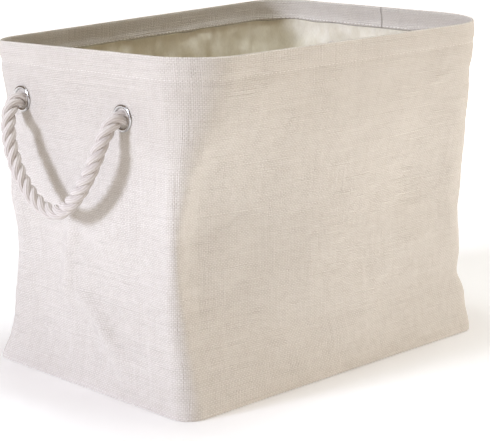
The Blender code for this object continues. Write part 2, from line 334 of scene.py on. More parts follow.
DROP_AT = np.array([np.flatnonzero(IS_CORNER & (WHICH == i)).mean() for i in range(4)])
DROP = np.interp(
    ALL,
    np.concatenate([[DROP_AT[3] - COUNT], DROP_AT, [DROP_AT[0] + COUNT]]),
    np.array([RIM_DROP[3], *RIM_DROP, RIM_DROP[0]]),
)
# The foot of the front side bows up off the floor, with a little lift at the right front corner.
FRONT_LIFT = 0.0005
CORNER_LIFT = 0.0002
CORNER_LIFT_COLUMNS = 22.0
LIFT_BELOW = 0.070
ON_FRONT = ~IS_CORNER & (WHICH == 3)
LIFT = np.where(ON_FRONT, FRONT_LIFT * np.sin(np.pi * SHARE) ** 2, 0.0)
LIFT += CORNER_LIFT * np.exp(-(((ALL - DROP_AT[3]) / CORNER_LIFT_COLUMNS) ** 2))


def wall_point(z, inset, column):
    """Point on the wall at a height and column, inset from the folded outer surface, and its normal."""
    z, inset, column = np.broadcast_arrays(z, inset, column)
    z = z.astype(float)
    outline_z = np.maximum(z - BOARD_EDGE * (1 - smoothstep(z, BOARD_EDGE, LEAN_FROM)), 0)
    xy = plan(outline_z, column)
    ahead = plan(outline_z, (column + 1) % COUNT)
    behind = plan(outline_z, (column - 1) % COUNT)
    along = ahead - behind
    along /= np.linalg.norm(along, axis=-1, keepdims=True)
    normal = np.stack([along[..., 1], -along[..., 0]], -1)
    place = np.concatenate([xy, z[..., None]], -1)
    out = folds(place, normal)
    xy = xy + normal * (out - inset)[..., None]
    for _, sx, y in EYELETS:
        away = np.hypot(xy[..., 1] - y, z - EYELET_Z)
        away = np.where(xy[..., 0] * sx > 0, away, 1.0)
        flat = 1 - smoothstep(away, *EYELET_FLAT)
        target = sx * (EYELET_X - inset)
        xy[..., 0] += flat * (target - xy[..., 0])
    low = 1 - smoothstep(z, 0.0, LIFT_BELOW)
    high = smoothstep(z, DROP_FROM, RIM)
    height = z - DROP[column] * high + LIFT[column] * low
    return np.concatenate([xy, height[..., None]], -1), normal


# ---------------------------------------------------------------- mesh helpers


def add_mesh(name, points, faces, uvs, look, smooth=True):
    """An object from points, faces and one UV for each corner of each face."""
    mesh = bpy.data.meshes.new(name)
    mesh.from_pydata([tuple(p) for p in points], [], [tuple(f) for f in faces])
    layer = mesh.uv_layers.new(name="UVMap")
    flat = np.concatenate([np.asarray(uv, float).reshape(-1) for uv in uvs])
    layer.data.foreach_set("uv", flat.astype(np.float32))
    mesh.polygons.foreach_set("use_smooth", [smooth] * len(mesh.polygons))
    mesh.materials.append(look)
    obj = bpy.data.objects.new(name, mesh)
    bpy.context.scene.collection.objects.link(obj)
    return obj


def grid_faces(rows, columns, start=0, closed=True, ring=False):
    """Faces of a grid of points. Closed joins the last column to the first, and ring the last row."""
    faces = []
    for i in range(rows if ring else rows - 1):
        a, b = start + i * columns, start + (i + 1) % rows * columns
        for k in range(columns if closed else columns - 1):
            m = (k + 1) % columns
            faces.append((a + k, a + m, b + m, b + k))
    return faces


def grid_uvs(u, v):
    """UVs of those faces, from each point's place along its row and each row's own place."""
    return [
        [(u[i][k], v[i]), (u[i][k + 1], v[i]), (u[i + 1][k + 1], v[i + 1]), (u[i + 1][k], v[i + 1])]
        for i in range(len(v) - 1)
        for k in range(len(u[i]) - 1)
    ]


def flat_uvs(points, faces):
    """UVs seen from above, in metres."""
    return [[points[v][:2] for v in face] for face in faces]


def thicken(obj, thickness):
    """Give a sheet its thickness, half to each side."""
    made = obj.modifiers.new("cloth thickness", "SOLIDIFY")
    made.thickness = thickness
    made.offset = 0.0
    made.use_even_offset = False


def lengths_round(grid, closed):
    """Length round the sheet at each point. Between two side middles every row is given the same length."""
    ahead = np.roll(grid, -1, axis=1)
    step = np.linalg.norm(ahead - grid, axis=-1)
    run = np.concatenate([np.zeros((len(grid), 1)), np.cumsum(step, axis=1)], axis=1)
    if not closed:
        return run
    even = run[len(run) // 2]
    out = np.zeros_like(run)
    for a, b in zip(QUARTERS[:-1], QUARTERS[1:]):
        share = (run[:, a : b + 1] - run[:, a : a + 1]) / (run[:, b : b + 1] - run[:, a : a + 1])
        out[:, a : b + 1] = even[a] + share * (even[b] - even[a])
    return out


def round_sheet(name, grid, rows_v, look, thickness, closed=True):
    """A sheet from a grid of points, rows by columns, closed round the bin. UVs are in metres."""
    rows, columns = grid.shape[:2]
    u = lengths_round(grid, closed)[:, : columns + 1 if closed else columns]
    faces = grid_faces(rows, columns, closed=closed)
    obj = add_mesh(name, grid.reshape(-1, 3), faces, grid_uvs(u, rows_v), look)
    thicken(obj, thickness)
    return obj


# The rings of a flat sheet, as shares of the way out from its middle to its edge.
RING_SHARES = np.concatenate([[1.0, 0.985], np.linspace(0.95, 0.03, 34)])
# A flat sheet follows the lift of its edge only outside this share of the way out.
FLAT_SHARE = 0.55


def edge_lift(edge, low, shares):
    """How far each ring rises with its edge, which isn't all at one height."""
    fade = np.clip((shares[:, None] - FLAT_SHARE) / (1 - FLAT_SHARE), 0, 1) ** 2
    return (edge[:, 2] - low)[None, :] * fade


def floor_sheet(name, edge, heights, look, thickness):
    """A flat sheet inside a closed edge: rings that shrink to the middle, with a height for each."""
    rings = np.array([edge * (s, s, 1.0) for s in RING_SHARES])
    rings[..., 2] = heights(rings, RING_SHARES)
    rows, columns = rings.shape[:2]
    points = rings.reshape(-1, 3)
    faces = grid_faces(rows, columns)
    faces.append(tuple((rows - 1) * columns + k for k in range(columns)))
    obj = add_mesh(name, points, faces, flat_uvs(points, faces), look)
    thicken(obj, thickness)
    return obj


def run_along(line):
    """Distance along a line at each of its points."""
    return np.concatenate([[0], np.cumsum(np.linalg.norm(np.diff(line, axis=0), axis=1))])


def points_at(line, run, marks):
    """Points of a line at distances along it."""
    return np.stack([np.interp(marks, run, line[:, i]) for i in range(line.shape[1])], -1)


FINE_STEPS = 24


def smooth_route(route, step):
    """Points about step apart on a smooth curve through the route."""
    route = np.array(route, float)
    tangent = np.gradient(route, axis=0)
    start, start_slope, end, end_slope = hermite(np.linspace(0, 1, FINE_STEPS, endpoint=False)[:, None])
    fine = [
        route[i] * start + tangent[i] * start_slope + route[i + 1] * end + tangent[i + 1] * end_slope
        for i in range(len(route) - 1)
    ]
    fine = np.concatenate(fine + [route[-1:]])
    run = run_along(fine)
    return points_at(fine, run, np.linspace(0, run[-1], max(3, round(run[-1] / step)) + 1))


def frames_along(line):
    """Two side directions at each point of a line, turning as little as possible."""
    tangent = np.gradient(line, axis=0)
    tangent /= np.linalg.norm(tangent, axis=1, keepdims=True)
    side = np.cross(tangent[0], (0.0, 0.0, 1.0))
    if np.linalg.norm(side) < 0.1:
        side = np.cross(tangent[0], (0.0, 1.0, 0.0))
    sides = []
    for t in tangent:
        side = side - t * (side @ t)
        side /= np.linalg.norm(side)
        sides.append(side)
    sides = np.array(sides)
    return sides, np.cross(tangent, sides)


def tube(centres, sides, ups, radius, around, start, step):
    """Points, faces and UVs of one round strand with flat ends. Its first point has the index start."""
    rows = len(centres)
    angle = np.linspace(0, 2 * np.pi, around, endpoint=False)
    ring = (
        sides[:, None] * np.cos(angle)[None, :, None] + ups[:, None] * np.sin(angle)[None, :, None]
    ) * radius[:, None, None]
    points = (centres[:, None] + ring).reshape(-1, 3)
    faces = grid_faces(rows, around, start)
    uvs = grid_uvs([[k / around for k in range(around + 1)]] * rows, [i * step for i in range(rows)])
    first = [start + k for k in range(around)][::-1]
    last = [start + (rows - 1) * around + k for k in range(around)]
    return points, faces + [first, last], uvs + [[(0.5, 0.0)] * around] * 2


STRANDS = 3
STRAND_RADIUS = 0.00385
STRAND_SIDES = 14
HELIX_RADIUS = 0.00415
LAY_LENGTH = 0.040
ROPE_STEP = 0.0016
# The strands taper at both ends: point, counted from either end, and share of the full radius.
END_TAPER = ((0, 0.55), (1, 0.85), (-1, 0.55), (-2, 0.85))


def laid_rope(name, line, look, scale=1.0):
    """Strands twisted round a line, ending in blunt caps."""
    sides, ups = frames_along(line)
    step = np.linalg.norm(np.diff(line, axis=0), axis=1).mean()
    twist = 2 * np.pi * np.arange(len(line)) * step / (LAY_LENGTH * scale)
    radius = np.full(len(line), STRAND_RADIUS * scale)
    for i, share in END_TAPER:
        radius[i] *= share
    points, faces, uvs = [], [], []
    for strand in range(STRANDS):
        phase = twist + strand * 2 * np.pi / STRANDS
        offset = sides * np.cos(phase)[:, None] + ups * np.sin(phase)[:, None]
        centres = line + offset * HELIX_RADIUS * scale
        along = np.gradient(centres, axis=0)
        along /= np.linalg.norm(along, axis=1, keepdims=True)
        across = offset - along * (offset * along).sum(1, keepdims=True)
        across /= np.linalg.norm(across, axis=1, keepdims=True)
        start = sum(map(len, points))
        p, f, uv = tube(centres, across, np.cross(along, across), radius, STRAND_SIDES, start, step)
        points.append(p)
        faces += f
        uvs += uv
    return add_mesh(name, np.concatenate(points), faces, uvs, look)


RING_STEPS = 64


def turned(name, profile, centre, outward, look):
    """A ring turned about an eyelet's axis. The profile is a closed loop of (radius, distance out)."""
    points = [
        (centre[0] + outward * out, centre[1] + r * math.cos(a), centre[2] + outward * r * math.sin(a))
        for a in np.linspace(0, 2 * np.pi, RING_STEPS, endpoint=False)
        for r, out in profile
    ]
    count = len(profile)
    along = [[k / count for k in range(count + 1)]] * (RING_STEPS + 1)
    uvs = grid_uvs(along, [i / RING_STEPS for i in range(RING_STEPS + 1)])
    uvs = [[(b, a) for a, b in face] for face in uvs]
    return add_mesh(name, points, grid_faces(RING_STEPS, count, ring=True), uvs, look)


# ---------------------------------------------------------------- materials


class Nodes:
    """Short calls for building a material's node tree."""

    def __init__(self, name):
        self.material = bpy.data.materials.new(name)
        self.material.use_nodes = True
        self.tree = self.material.node_tree
        self.shader = self.tree.nodes["Principled BSDF"]

    def put(self, node, socket, value):
        if isinstance(value, bpy.types.NodeSocket):
            self.tree.links.new(value, node.inputs[socket])
        elif value is not None:
            node.inputs[socket].default_value = value

    def node(self, kind, output=0, inputs=(), **settings):
        made = self.tree.nodes.new(kind)
        for key, value in settings.items():
            setattr(made, key, value)
        for socket, value in inputs:
            self.put(made, socket, value)
        return made.outputs[output]

    def uv(self):
        return self.node("ShaderNodeUVMap", uv_map="UVMap")

    def place(self):
        return self.tree.nodes.new("ShaderNodeTexCoord").outputs["Object"]

    def across_and_up(self, vector):
        split = self.tree.nodes.new("ShaderNodeSeparateXYZ")
        self.put(split, 0, vector)
        return split.outputs[0], split.outputs[1]

    def math(self, operation, a, b=None, c=None):
        return self.node("ShaderNodeMath", inputs=[(0, a), (1, b), (2, c)], operation=operation)

    def times(self, a, b):
        return self.math("MULTIPLY", a, b)

    def noise(self, vector, scale, detail=2.0, rough=0.5):
        inputs = [("Vector", vector), ("Scale", scale), ("Detail", detail), ("Roughness", rough)]
        return self.node("ShaderNodeTexNoise", inputs=inputs)

    def stretch(self, vector, x, y, z=1.0):
        """The vector multiplied along each axis, so that a noise of scale 1 runs that fine."""
        return self.node("ShaderNodeMapping", inputs=[("Vector", vector), ("Scale", (x, y, z))])

    def span(self, value, low, high, out_low=0.0, out_high=1.0):
        """out_low where the value is up to low, out_high from high, and smooth between."""
        names = ("Value", "From Min", "From Max", "To Min", "To Max")
        inputs = zip(names, (value, low, high, out_low, out_high))
        return self.node("ShaderNodeMapRange", inputs=inputs, interpolation_type="SMOOTHSTEP")

    def mix(self, share, a, b):
        made = self.tree.nodes.new("ShaderNodeMix")
        made.data_type = "RGBA"
        self.put(made, 0, share)
        self.put(made, 6, (*a, 1.0) if isinstance(a, tuple) else a)
        self.put(made, 7, (*b, 1.0) if isinstance(b, tuple) else b)
        return made.outputs[2]

    def bump(self, height, distance, strength=1.0):
        inputs = [("Height", height), ("Distance", distance), ("Strength", strength)]
        return self.node("ShaderNodeBump", inputs=inputs)

    def finish(self, colour, roughness, normal=None, **fixed):
        self.put(self.shader, "Base Color", colour)
        self.put(self.shader, "Roughness", roughness)
        self.put(self.shader, "Normal", normal)
        for name, value in fixed.items():
            self.put(self.shader, name.replace("_", " "), value)
        return self.material


# Colours, linear: the plain one, the dark one, and where there is one the bright of thick yarns. On the cloth
# and the rope the dark one is painted shade in the hollows; on the cloth it is also the darker tone of thin
# yarns and blotches.
CLOTH_LIGHT, CLOTH_SHADE_AND_DARK_TONE, CLOTH_BRIGHT = (0.820, 0.780, 0.725), (0.515, 0.465, 0.400), (0.88, 0.84, 0.79)
SEAM_LINE = (0.20, 0.165, 0.13)
LINING_LIGHT, LINING_DARK, LINING_SPECK = (0.87, 0.835, 0.715), (0.74, 0.69, 0.55), (0.58, 0.53, 0.42)
THREAD_LIGHT, THREAD_DARK = (0.92, 0.89, 0.85), (0.80, 0.76, 0.71)
ROPE_LIGHT, ROPE_GROOVE_SHADE = (0.72, 0.675, 0.635), (0.60, 0.545, 0.50)
ROPE_FIBRE, ROPE_HOLLOW_SHADE = (0.50, 0.44, 0.39), (0.22, 0.165, 0.13)
METAL_LIGHT, METAL_DARK = (0.62, 0.61, 0.60), (0.47, 0.46, 0.45)
BOARD_LIGHT, BOARD_DARK = (0.52, 0.46, 0.38), (0.36, 0.31, 0.25)
FLOOR_LIGHT, FLOOR_DARK = (0.92, 0.92, 0.92), (0.90, 0.90, 0.90)
THREAD_PITCH = 0.0019
WEAVE_DEPTH = 0.00050
# Painted shade: the cloth darkens between these lengths up the sheet, towards the rim.
PAINTED_RIM_SHADE_FROM, PAINTED_RIM_SHADE_TO = 0.225, 0.345
YARN_TURNS = 9
YARN_RISE = 0.0052


def woven(name, seam_at):
    """Linen-like plain weave of uneven yarns, with slubs along both threads and one seam, at seam_at, and
    painted shade in the weave's hollows and towards the rim.
    """
    n = Nodes(name)
    uv = n.uv()
    across_uv, up_uv = n.across_and_up(uv)

    def sway(vector, scale, detail, size):
        return n.times(n.math("SUBTRACT", n.noise(vector, scale, detail), 0.5), size)

    def streaks(x, y, low):
        return n.span(n.noise(n.stretch(uv, x, y), 1.0, 1.0), low, 0.72)

    wave = math.pi / THREAD_PITCH
    wander = sway(uv, 22.0, 2.0, 3.0)
    warp_swing = sway(n.stretch(uv, 260.0, 14.0), 1.0, 1.0, 2.6)
    weft_swing = sway(n.stretch(uv, 14.0, 260.0), 1.0, 1.0, 2.6)
    across = n.math("SINE", n.math("MULTIPLY_ADD", across_uv, wave, n.math("ADD", wander, warp_swing)))
    up = n.math("SINE", n.math("MULTIPLY_ADD", up_uv, wave, n.math("ADD", wander, weft_swing)))
    over = n.times(across, up)
    inputs = [(0, n.span(over, -0.25, 0.25)), (2, n.math("ABSOLUTE", across)), (3, n.math("ABSOLUTE", up))]
    thread = n.node("ShaderNodeMix", inputs=inputs, data_type="FLOAT")
    thick = n.math("MAXIMUM", streaks(13.0, 560.0, 0.56), streaks(560.0, 11.0, 0.56))
    thin = n.math("MAXIMUM", streaks(18.0, 620.0, 0.55), streaks(620.0, 15.0, 0.55))
    patches = n.span(n.noise(uv, 130.0, 2.0), 0.35, 0.65, 0.35, 1.0)
    cloud = n.noise(uv, 9.0, 3.0)
    # Painted shade: the cloth is darker in the hollows where its threads sit low.
    colour = n.mix(n.span(thread, 0.10, 0.70, 0.35, 1.0), CLOTH_SHADE_AND_DARK_TONE, CLOTH_LIGHT)
    colour = n.mix(n.times(n.span(over, -0.6, 0.6, 0.40, 0.0), patches), colour, CLOTH_SHADE_AND_DARK_TONE)
    colour = n.mix(n.times(thick, 0.20), colour, CLOTH_BRIGHT)
    colour = n.mix(n.times(thin, 0.15), colour, CLOTH_SHADE_AND_DARK_TONE)
    colour = n.mix(n.span(cloud, 0.35, 0.70, 0.0, 0.10), colour, CLOTH_SHADE_AND_DARK_TONE)
    # Painted shade towards the rim.
    colour = n.mix(n.span(up_uv, PAINTED_RIM_SHADE_FROM, PAINTED_RIM_SHADE_TO, 0.0, 0.34), colour, CLOTH_SHADE_AND_DARK_TONE)
    off_seam = n.math("ABSOLUTE", n.math("SUBTRACT", across_uv, seam_at))
    seam = n.span(off_seam, 0.0005, 0.0012, 1.0, 0.0)
    colour = n.mix(n.times(seam, 0.38), colour, SEAM_LINE)
    height = n.math("ADD", thread, n.times(thick, 0.45))
    height = n.math("SUBTRACT", height, n.times(thin, 0.30))
    height = n.math("ADD", height, n.times(n.noise(uv, 2600.0, 2.0), 0.35))
    normal = n.bump(n.math("SUBTRACT", height, n.times(seam, 3.0)), WEAVE_DEPTH)
    fixed = {"Sheen_Weight": 0.25, "Sheen_Roughness": 0.45, "Specular_IOR_Level": 0.25}
    return n.finish(colour, n.span(thread, 0.0, 1.0, 0.92, 0.80), normal, **fixed)


def lining_material(name):
    """Thin, tightly woven, slightly glossy lining with fine crinkles."""
    n = Nodes(name)
    uv = n.uv()
    crinkle = n.noise(n.stretch(uv, 1.0, 0.55), 55.0, 4.0, 0.55)
    sharp = n.math("ABSOLUTE", n.math("SUBTRACT", crinkle, 0.5))
    fine = n.noise(n.stretch(uv, 900.0, 260.0), 1.0, 2.0)
    colour = n.mix(n.span(crinkle, 0.30, 0.70), LINING_DARK, LINING_LIGHT)
    colour = n.mix(n.span(fine, 0.35, 0.75, 0.0, 0.25), colour, LINING_SPECK)
    normal = n.bump(n.math("ADD", sharp, n.times(fine, 0.05)), 0.0016, 0.55)
    roughness = n.span(fine, 0.2, 0.8, 0.52, 0.66)
    return n.finish(colour, roughness, normal, Sheen_Weight=0.20, Sheen_Roughness=0.30)


def thread_material(name):
    """Sewing thread with a fine twist."""
    n = Nodes(name)
    twist = n.noise(n.stretch(n.uv(), 5.0, 2600.0), 1.0, 2.0)
    colour = n.mix(n.span(twist, 0.3, 0.7), THREAD_DARK, THREAD_LIGHT)
    roughness = n.span(twist, 0.2, 0.8, 0.55, 0.75)
    return n.finish(colour, roughness, n.bump(twist, 0.0001), Sheen_Weight=0.2)


def rope_material(name):
    """Cotton strands of fine yarns that run slantwise round each strand, with painted shade in the grooves
    between yarns and in the hollows between strands.
    """
    n = Nodes(name)
    uv = n.uv()
    across_uv, up_uv = n.across_and_up(uv)
    turns = n.times(across_uv, 2 * math.pi * YARN_TURNS)
    slant = n.math("ADD", turns, n.times(up_uv, 2 * math.pi / YARN_RISE))
    wander = n.times(n.noise(n.stretch(uv, 8.0, 260.0), 1.0, 2.0), 2.2)
    yarn = n.span(n.math("SINE", n.math("ADD", slant, wander)), -1.0, 1.0)
    fibre = n.noise(n.stretch(uv, 40.0, 900.0), 1.0, 3.0)
    # Painted shade: darker in the grooves between the yarns.
    colour = n.mix(yarn, ROPE_GROOVE_SHADE, ROPE_LIGHT)
    colour = n.mix(n.span(fibre, 0.35, 0.75, 0.0, 0.35), colour, ROPE_FIBRE)
    pointiness = n.tree.nodes.new("ShaderNodeNewGeometry").outputs["Pointiness"]
    # Painted shade: darker in the hollows between the strands, found by pointiness.
    colour = n.mix(n.span(pointiness, 0.40, 0.49, 0.85, 0.0), colour, ROPE_HOLLOW_SHADE)
    normal = n.bump(n.math("ADD", yarn, n.times(fibre, 0.5)), 0.00035)
    roughness = n.span(fibre, 0.2, 0.8, 0.80, 0.95)
    return n.finish(colour, roughness, normal, Sheen_Weight=0.35, Sheen_Roughness=0.5)


def metal_material(name):
    """Plated metal, a little uneven."""
    n = Nodes(name)
    place = n.place()
    fine = n.noise(place, 900.0, 2.0)
    broad = n.noise(place, 60.0, 2.0)
    colour = n.mix(n.span(broad, 0.35, 0.7), METAL_DARK, METAL_LIGHT)
    return n.finish(colour, n.span(fine, 0.3, 0.7, 0.16, 0.27), n.bump(fine, 0.00004), Metallic=1.0)


def board_material(name):
    """Grey-brown pressed board."""
    n = Nodes(name)
    fibre = n.noise(n.stretch(n.place(), 90.0, 700.0, 700.0), 1.0, 3.0)
    colour = n.mix(n.span(fibre, 0.35, 0.7), BOARD_DARK, BOARD_LIGHT)
    return n.finish(colour, n.span(fibre, 0.2, 0.8, 0.75, 0.9), n.bump(fibre, 0.0002))


lining_look = lining_material("lining cloth")
thread_look = thread_material("sewing thread")
rope_look = rope_material("cotton rope")
metal_look = metal_material("plated eyelet")
board_look = board_material("stiffening board")

# ---------------------------------------------------------------- outer cloth and board

FOOT = 0.0008
# The wall's cloth is turned under at the foot, round a small roll: insets of its edge, and the roll's radius.
TURNED_UNDER = (0.0065, 0.0045)
ROLL = 0.0009
WALL_FROM = 0.0035
WALL_ROWS = 93
BELOW_FOLD = 0.003
# The free edge of the hem: pucker and waviness.
PUCKER = 0.0007
EDGE_WAVE = 0.0008


def section(points):
    """A grid of wall points for a list of (height, inset), each the same all round."""
    z = np.array([p[0] for p in points])[:, None]
    inset = np.array([p[1] for p in points])[:, None]
    return wall_point(z, inset, ALL[None, :])[0]


fold_z = HEM_HIGH.z - CLOTH / 2 - FOLD_RADIUS
shell = [(FOOT, inset) for inset in TURNED_UNDER]
for angle in np.linspace(90, 0, 6):
    a = math.radians(angle)
    shell.append((FOOT + ROLL - ROLL * math.sin(a), CLOTH / 2 + ROLL - ROLL * math.cos(a)))
shell += [(z, CLOTH / 2) for z in np.linspace(WALL_FROM, fold_z - BELOW_FOLD, WALL_ROWS)]
for angle in np.linspace(0, 180, 9):
    a = math.radians(angle)
    shell.append((fold_z + FOLD_RADIUS * math.sin(a), FOLD_INSET - FOLD_RADIUS * math.cos(a)))
hem_rows = np.linspace(fold_z - BELOW_FOLD, HEM_FOOT, 8)
shell += [(z, HEM_INSET) for z in hem_rows]
grid = section(shell)
hem_part = len(shell) - len(hem_rows)
place = grid[hem_part:]
below = np.linspace(0, 1, len(hem_rows))[:, None]
inward = -place[..., :2] / np.linalg.norm(place[..., :2], axis=-1, keepdims=True)
pucker = PUCKER * (ripple(place, 0.026, 21) + 0.6 * ripple(place, 0.060, 22) + 0.8)
grid[hem_part:, :, :2] += inward * (np.clip(pucker, 0, None) * below**1.5)[..., None]
grid[hem_part:, :, 2] += EDGE_WAVE * below * ripple(place, 0.050, 23)
waist = grid[len(grid) // 2]
PERIMETER = float(np.linalg.norm(np.roll(waist, -1, axis=0) - waist, axis=-1).sum())
# The strip is measured round from the middle of the right end, so its seam lies just before its end.
outer_look = woven("outer cloth", PERIMETER - (float(waist[0, 1]) - SEAM_Y))
outer = round_sheet("outer_shell", grid, run_along(np.array(shell)), outer_look, CLOTH)

BASE_INSET = 0.0069
BASE_WAVE = 0.00012
BOARD_LOW, BOARD_HIGH = 0.0016, 0.0042
BOARD_SOFTENED = 0.0004
# The board is cut to the wall's line at this height and inset.
BOARD_LINE = (0.0030, 0.0022)
edge = section([(FOOT, BASE_INSET)])[0]


def base_heights(rings, shares):
    """Heights of the base panel's rings."""
    return FOOT + edge_lift(edge, FOOT, shares) + BASE_WAVE * (1 + ripple(rings, 0.060, 31))


base = floor_sheet("outer_base_panel", edge, base_heights, outer_look, CLOTH)


def stiff_board(name, outline, low, high, look):
    """A plate inside an outline, with softened edges: rings that run out under it and back over it."""
    half = [(share, low) for share in (0.03, 0.35, 0.70, 0.95, 0.9985)] + [(1.0, low + BOARD_SOFTENED)]
    rings = half + [(share, low + high - z) for share, z in reversed(half)]
    grid = np.array([outline * (share, share, 0.0) + (0.0, 0.0, z) for share, z in rings])
    rows, columns = grid.shape[:2]
    faces = grid_faces(rows, columns)
    faces.append(tuple(reversed(range(columns))))
    faces.append(tuple((rows - 1) * columns + k for k in range(columns)))
    points = grid.reshape(-1, 3)
    return add_mesh(name, points, faces, flat_uvs(points, faces), look)


board = stiff_board("stiffening_board", section([BOARD_LINE])[0], BOARD_LOW, BOARD_HIGH, board_look)

# ---------------------------------------------------------------- lining

LINING_FLOOR = 0.0062
FLOOR_CLEAR = 0.0002
FLOOR_EDGE_IN = 0.0066
# The foot of the lining turns in over the floor: height of each row, and how much further in it lies.
LINING_FOOT = ((LINING_FLOOR, 0.0060), (0.0066, 0.0022), (0.0080, 0.0008), (0.0110, 0.0))
LINING_ROWS = 84
LINING_TOP = RIM - 0.009
GATHER = 0.0012
DRAPE = 0.0030
CRUMPLE = 0.0006
FLOOR_WAVE = 0.0007
EYELET_GAP = (0.018, 0.045)


def lining_inset(z, column):
    """How far in the loose lining hangs, at a height and column."""
    reach = wall_point(z, LINING_INSET, column)[0]
    depth = HEM_FOOT - z
    u = column * (PERIMETER / COUNT)
    flat = np.stack(np.broadcast_arrays(u, z * 0.35), -1)
    gather = GATHER * (ripple(flat, 0.016, 41) + ripple(flat, 0.030, 42))
    gather *= smoothstep(depth, -0.002, 0.012) * (1 - 0.7 * smoothstep(depth, 0.03, 0.12))
    slant = np.stack(np.broadcast_arrays(u + 0.55 * z, z * 0.8 - 0.30 * u), -1)
    drape = DRAPE * (ripple(slant, 0.085, 43) + 0.55 * ripple(slant, 0.040, 44) + 1.1)
    loose = smoothstep(depth, -0.002, 0.035) * (drape + CRUMPLE * ripple(reach, 0.022, 45))
    free = np.full(z.shape, 1.0)
    for _, sx, y in EYELETS:
        away = np.hypot(reach[..., 1] - y, z - EYELET_Z)
        free = np.minimum(free, np.where(reach[..., 0] * sx > 0, smoothstep(away, *EYELET_GAP), 1.0))
    out = np.clip(gather + loose, -0.0002, None) * smoothstep(z, 0.006, 0.040) * free
    return LINING_INSET + out


lining_z = np.concatenate([
    [z for z, _ in LINING_FOOT],
    np.linspace(0.016, HEM_FOOT, LINING_ROWS),
    np.linspace(HEM_FOOT + 0.003, LINING_TOP, 5),
])
zz, cc = np.meshgrid(lining_z, ALL, indexing="ij")
insets = lining_inset(zz, cc)
for i, (_, further) in enumerate(LINING_FOOT):
    insets[i] += further
lining_grid = wall_point(zz, insets, cc)[0]
lining = round_sheet("lining_wall_cloth", lining_grid, lining_z, lining_look, LINING_CLOTH)
floor_edge = section([(LINING_FLOOR, LINING_INSET + FLOOR_EDGE_IN)])[0]


def lining_floor_heights(rings, shares):
    """Heights of the lining floor's rings, with soft waves that fade at the edge."""
    wave = FLOOR_WAVE * (1.1 + ripple(rings, 0.090, 51) + 0.5 * ripple(rings, 0.035, 52))
    wave = np.clip(wave, 0, None) * np.clip((1 - shares[:, None]) * 12, 0, 1)
    return LINING_FLOOR + FLOOR_CLEAR + edge_lift(floor_edge, LINING_FLOOR, shares) + wave


lining_floor = floor_sheet("lining_floor_cloth", floor_edge, lining_floor_heights, lining_look, LINING_CLOTH)

# ---------------------------------------------------------------- seam allowance and stitches

SEAM_FLAP = 0.0004
SEAM_INSET = 0.0014
SEAM_REACH = 0.0115
halfway_up = plan(np.full(COUNT, RIM / 2), ALL)
seam_columns = np.flatnonzero((halfway_up[:, 0] > 0) & (np.abs(halfway_up[:, 1] - SEAM_Y) < SEAM_REACH))
seam_columns = seam_columns[np.argsort(halfway_up[seam_columns, 1])]
seam_z = np.linspace(0.008, RIM - 0.006, 60)
seam_grid = wall_point(seam_z[:, None], SEAM_INSET, seam_columns[None, :])[0]
seam = round_sheet("panel_seam_flaps", seam_grid, seam_z, outer_look, SEAM_FLAP, closed=False)

STITCH_PITCH = 0.0054
STITCH_LENGTH = 0.0038
STITCH_SIDES = 6
# The thread's radius along one stitch, how far its middle rises and how deep the whole of it sits.
STITCH_RADII = 0.00050 * np.array([0.45, 0.9, 1.0, 1.0, 0.9, 0.45])
STITCH_RISE, STITCH_SINK = 0.00070, 0.00030
UNDER_STITCH_INSET = HEM_INSET + CLOTH / 2 + 0.0006


def stitches(name, inset, side):
    """A row of separate stitches round the hem. side is 1 outside and -1 inside."""
    points, normals = wall_point(np.full(COUNT, STITCH_Z), np.full(COUNT, inset), ALL)
    normals = np.concatenate([normals, np.zeros((COUNT, 1))], -1) * side
    ring = np.concatenate([points, points[:1]])
    outward = np.concatenate([normals, normals[:1]])
    run = run_along(ring)
    count = int(run[-1] / STITCH_PITCH)
    rows = len(STITCH_RADII)
    share = np.linspace(0, 1, rows)
    starts = np.arange(count) * run[-1] / count
    marks = (starts[:, None] + share[None, :] * STITCH_LENGTH).reshape(-1) % run[-1]
    n = points_at(outward, run, marks)
    n /= np.linalg.norm(n, axis=1, keepdims=True)
    lift = np.tile(STITCH_RISE * np.sin(np.pi * share) - STITCH_SINK, count)
    at = points_at(ring, run, marks) + n * lift[:, None]
    ups = np.tile(np.array([0.0, 0.0, 1.0]), (rows, 1))
    step = STITCH_LENGTH / (rows - 1)
    all_points, faces, uvs = [], [], []
    for i in range(count):
        one = slice(i * rows, i * rows + rows)
        start = i * rows * STITCH_SIDES
        p, f, uv = tube(at[one], n[one] * side, ups, STITCH_RADII, STITCH_SIDES, start, step)
        all_points.append(p)
        faces += f
        uvs += uv
    return add_mesh(name, np.concatenate(all_points), faces, uvs, thread_look)


top_stitch = stitches("hem_top_stitches", 0.0, 1)
under_stitch = stitches("hem_under_stitches", UNDER_STITCH_INSET, -1)

# ---------------------------------------------------------------- eyelets

FLANGE = 0.0137
BORE = 0.0102
ROLL_FROM = 0.0005
ROLL_HEIGHT = 0.0019
ROLL_STEPS = 12
BARREL = 0.0110
WASHER_OUT = -0.0044
barrel_end = WASHER_OUT - 0.0006
flange = [(BARREL, 0.0001), (BARREL, barrel_end), (BORE, barrel_end), (BORE, 0.0009)]
for k in range(1, ROLL_STEPS):
    a = math.pi * (1 - k / ROLL_STEPS)
    middle_r, half_r = (BORE + FLANGE) / 2, (FLANGE - BORE) / 2
    out = ROLL_FROM + (ROLL_HEIGHT - ROLL_FROM) * math.sin(a) ** 0.8
    flange.append((middle_r + half_r * math.cos(a), out))
flange += [(FLANGE, 0.0004), (FLANGE - 0.0003, 0.0001)]
back_ring = [
    (BARREL + 0.0002, WASHER_OUT),
    (BARREL + 0.0002, WASHER_OUT - 0.0010),
    (BARREL + 0.0016, WASHER_OUT - 0.0013),
    (FLANGE - 0.0012, WASHER_OUT - 0.0010),
    (FLANGE, WASHER_OUT - 0.0003),
    (FLANGE, WASHER_OUT),
]
eyelet_pieces = []
